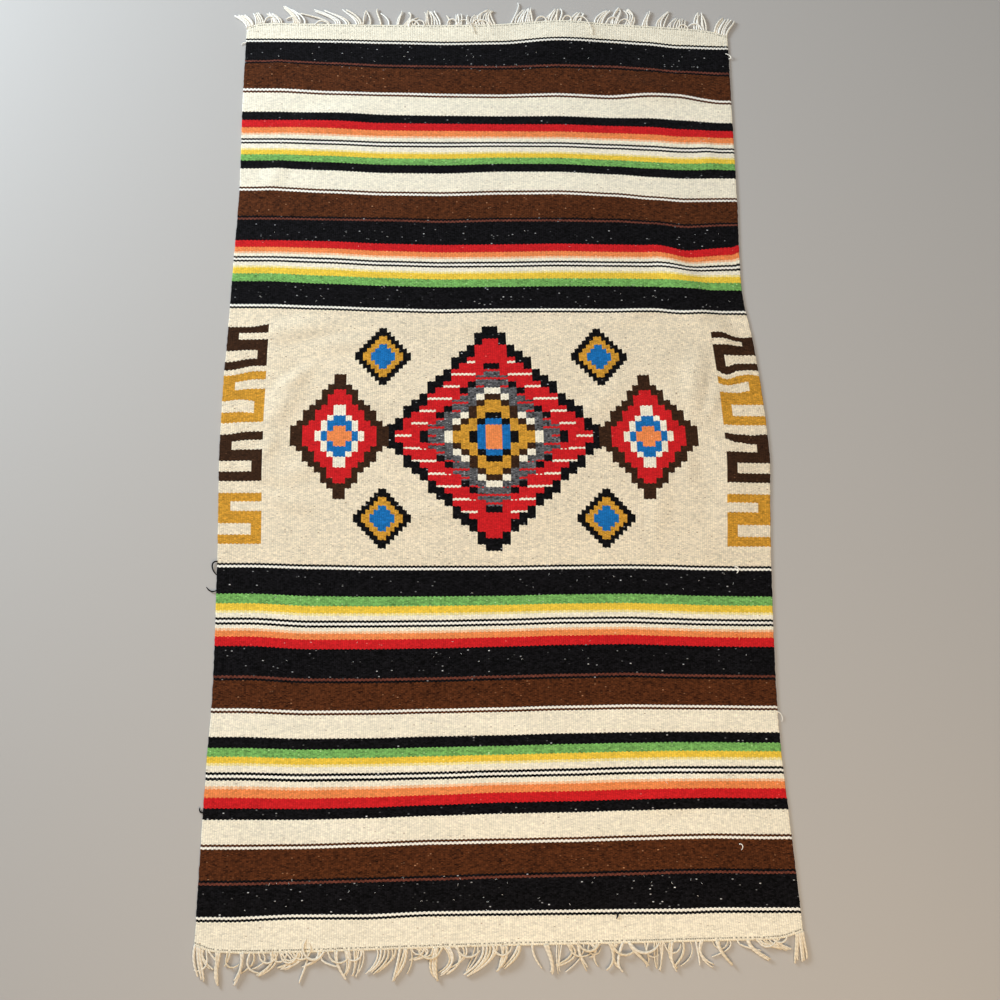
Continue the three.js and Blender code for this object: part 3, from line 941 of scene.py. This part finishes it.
# Long warp ends that lie back over the cloth at the far end: their routes in laid millimetres, and cord.
LAID_BACK = (
    (((-86, 856, 2), (-72, 872, 5), (-58, 862, 7), (-52, 832, 6)), 1.1),
    (((145, 860, 2), (160, 884, 6), (176, 866, 9), (183, 828, 8)), 1.2),
)


def curl_route(root_x, end, lean, straight, radius, turn, cord):
    """A warp end that goes straight and then turns round in a curl that widens a little."""
    heading = math.radians(lean)
    steps = round((straight + radius * math.radians(abs(turn))) / CURL_STEP)
    spot_x, spot_y, run = root_x, end_place(root_x, end) - end * ROOT_DEPTH, 0.0
    route = [(spot_x, spot_y, WEB_THICKNESS / 2)]
    for step in range(steps):
        if run > straight:
            widen = 1 + 0.5 * (run - straight) / (radius * math.radians(abs(turn)))
            heading += math.copysign(CURL_STEP / (radius * widen), turn)
        spot_x += CURL_STEP * math.sin(heading)
        spot_y += CURL_STEP * math.cos(heading) * end
        run += CURL_STEP
        over = cord * 2.2 * max(0.0, math.sin(math.pi * run / (steps * CURL_STEP)))
        route.append((spot_x, spot_y, cord + over))
    return route


def add_curls(strands, dice, curls, end):
    for root_x, lean, straight, radius, turn, cord in curls:
        route = curl_route(root_x, end, lean, straight, radius, turn, cord)
        cord *= CORD_SWELL
        strands.add(route, cord, dice.uniform(0.5, 0.8), end_shade(dice, end), dice.uniform(0, 3))


# Ends of weft yarn that were left hanging at the selvedges and knots on the cloth: yarn, cord and route.
TAILS = (
    ("black", 1.5, ((-492, -228, 2), (-505, -226, 4), (-503, -244, 2), (-492, -252, 1.5))),
    ("black", 1.3, ((-491, -279, 2), (-498, -283, 3), (-504, -280, 2), (-509, -273, 1.3))),
    ("black", 1.6, ((-486, -646, 2), (-492, -650, 3), (-497, -646, 2), (-495, -640, 1.6))),
    ("white", 1.2, ((451, 776, 2), (459, 775, 4), (454, 784, 4.5), (444, 786, 4.5))),
    ("white", 1.1, ((-500, 812, 2), (-505, 815, 2.5), (-510, 812, 2), (-512, 808, 1.1))),
    ("white", 1.2, ((408, -238, 4), (414, -236, 5.5), (417, -244, 5), (411, -249, 4.5))),
    ("white", 0.9, ((466, -484, 2), (474, -486, 3), (477, -494, 2), (474, -501, 1))),
    ("orange", 1.4, ((402, -356, 4), (405, -350, 6), (411, -356, 6), (409, -364, 4))),
    ("black", 1.6, ((184, -804, 3.5), (189, -801, 6), (192, -807, 6), (187, -811, 4))),
    ("white", 0.8, ((391, -697, 4), (396, -695, 6), (399, -702, 6), (394, -706, 4))),
)
LINT_COUNT = 150
LINT_BANDS = ((248, 300), (358, 410), (584, 602), (746, 762), (770, 805))  # black bands, woven millimetres


def make_tails():
    """One piece for each yarn's loose ends, on top of the cloth's own lift."""
    pieces = []
    for yarn in ("black", "white", "orange"):
        strands = Strands()
        for name, cord, route in TAILS:
            if name == yarn:
                raised = [(x, y, z + float(lift(x, y, RIPPLES + PUCKERS))) for x, y, z in route]
                strands.add(bezier(raised, 12), cord, 0.5, 0.5)
        piece = strands.build("tails_" + yarn)
        piece.data.materials.append(yarn_end_material("loose " + yarn, YARNS[yarn][0]))
        pieces.append(piece)
    return pieces


def make_lint():
    """Short white fibres that cling to the black bands."""
    dice = random.Random(31)
    strands = Strands()
    for _ in range(LINT_COUNT):
        low, high = dice.choice(LINT_BANDS)
        x = dice.uniform(-465, 440)
        y = dice.choice((-1, 1)) * dice.uniform(low, high)
        angle = dice.uniform(0, 2 * math.pi)
        reach = dice.uniform(1.5, 4.5)
        away = np.array((math.cos(angle), math.sin(angle), 0)) * reach
        bent = np.array((-away[1], away[0], 0)) * dice.uniform(-0.5, 0.5)
        ground = WEB_THICKNESS + FINE_LIFT + 0.2 + float(lift(x, y, RIPPLES + PUCKERS))
        start = np.array((x, y, ground))
        route = bezier((start, start + away * 0.4 + bent, start + away * 0.7 + bent, start + away), 5)
        strands.add(route, dice.uniform(0.16, 0.3), 0.5, dice.uniform(0.3, 1.0))
    lint = strands.build("lint")
    lint.data.materials.append(yarn_end_material("lint fibre", (232, 230, 224)))
    return lint


def make_tassel(row, seed):
    """One corner's bundle of selvedge warps, which lie side by side and fan out to the tips."""
    name, side, end, root, tip, reach, lean, count = row
    dice = random.Random(seed)
    corner = float(web_place((side + 1) / 2, (end + 1) / 2)[0])
    middle = corner - side * root / 2
    strands = Strands()
    for k in range(count):
        share = (k + 0.5) / count - 0.5
        root_x = middle + share * root
        sway = lean + share * (tip - root) + dice.uniform(-1, 1)
        bow = share * 5 + dice.uniform(-1.5, 1.5)
        length = reach * dice.uniform(0.9, 1.0)
        route = strand_route(dice, root_x, end, sway, length, bow, TASSEL_CORD, dice.uniform(0, 1.6))
        strands.add(route, dice.uniform(2.5, 3.0), 0.6, end_shade(dice, end), dice.uniform(0, 3))
    tassel = strands.build(name + "_cords")
    tassel.data.materials.append(COTTON)
    return tassel


# ---- Scene ----
FLOOR_HALF = 6  # metres from the middle of the floor to each side

# Each light: its name, where it is and what it faces, in metres, its size, power and colour.
LIGHTS = (
    ("window", (-2.5, 1.6, 1.35), (0.0, 0.2, 0), (1.2, 1.0), 118, (0.76, 0.88, 1.0)),
    ("room", (0.4, -1.9, 1.5), (0, -0.7, 0), (1.4, 1.0), 21, (1.0, 0.72, 0.42)),
    ("ceiling", (0.4, 0.2, 3.0), (0, 0, 0), (2.4, 2.4), 36, (1.0, 0.97, 0.92)),
)


def make_floor():
    corners = ((-1, -1), (1, -1), (1, 1), (-1, 1))
    points = [(x * FLOOR_HALF, y * FLOOR_HALF, -FLOOR_DROP) for x, y in corners]
    floor = new_mesh("floor", points, [(0, 1, 2, 3)])
    inputs = {"Base Color": linear((178, 174, 169)) + (1,), "Roughness": 0.9, "Specular IOR Level": 0.2}
    floor.data.materials.append(Graph("pale floor").finish(inputs))


def add_light(name, at, aim, size, power, colour):
    """A soft area light at one place, facing another."""
    data = bpy.data.lights.new(name, "AREA")
    data.shape = "RECTANGLE"
    data.size, data.size_y = size
    data.energy = power
    data.color = colour
    light = bpy.data.objects.new(name, data)
    bpy.context.scene.collection.objects.link(light)
    light.location = at
    facing = light.location - type(light.location)(aim)
    light.rotation_euler = facing.to_track_quat("Z", "Y").to_euler()


def make_lights():
    for row in LIGHTS:
        add_light(*row)
    world = bpy.data.worlds.new("soft surround")
    world.use_nodes = True
    world.node_tree.nodes["Background"].inputs["Color"].default_value = (0.95, 0.97, 1.0, 1)
    world.node_tree.nodes["Background"].inputs["Strength"].default_value = 0.2
    bpy.context.scene.world = world
    bpy.context.scene.view_settings.view_transform = "Standard"


def ride_in_place(piece, node):
    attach(piece, "root")
    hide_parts(node)


make_camera()
COTTON = cotton_material()
web = make_web()
ride_in_place(web, "web")
for node, *settings in (
    ("fringe_far", 1, FAR_CLUMPS, FAR_CURLS, LAID_BACK, 11),
    ("fringe_near", -1, NEAR_CLUMPS, NEAR_CURLS, (), 5),
):
    piece = make_fringe(node + "_strands", *settings)
    ride_in_place(piece, node)
for number, tassel_row in enumerate(TASSELS):
    piece = make_tassel(tassel_row, 20 + number)
    ride_in_place(piece, tassel_row[0])
for piece in make_tails():
    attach(piece, "root")
lint = make_lint()
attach(lint, "root")
make_floor()
make_lights()
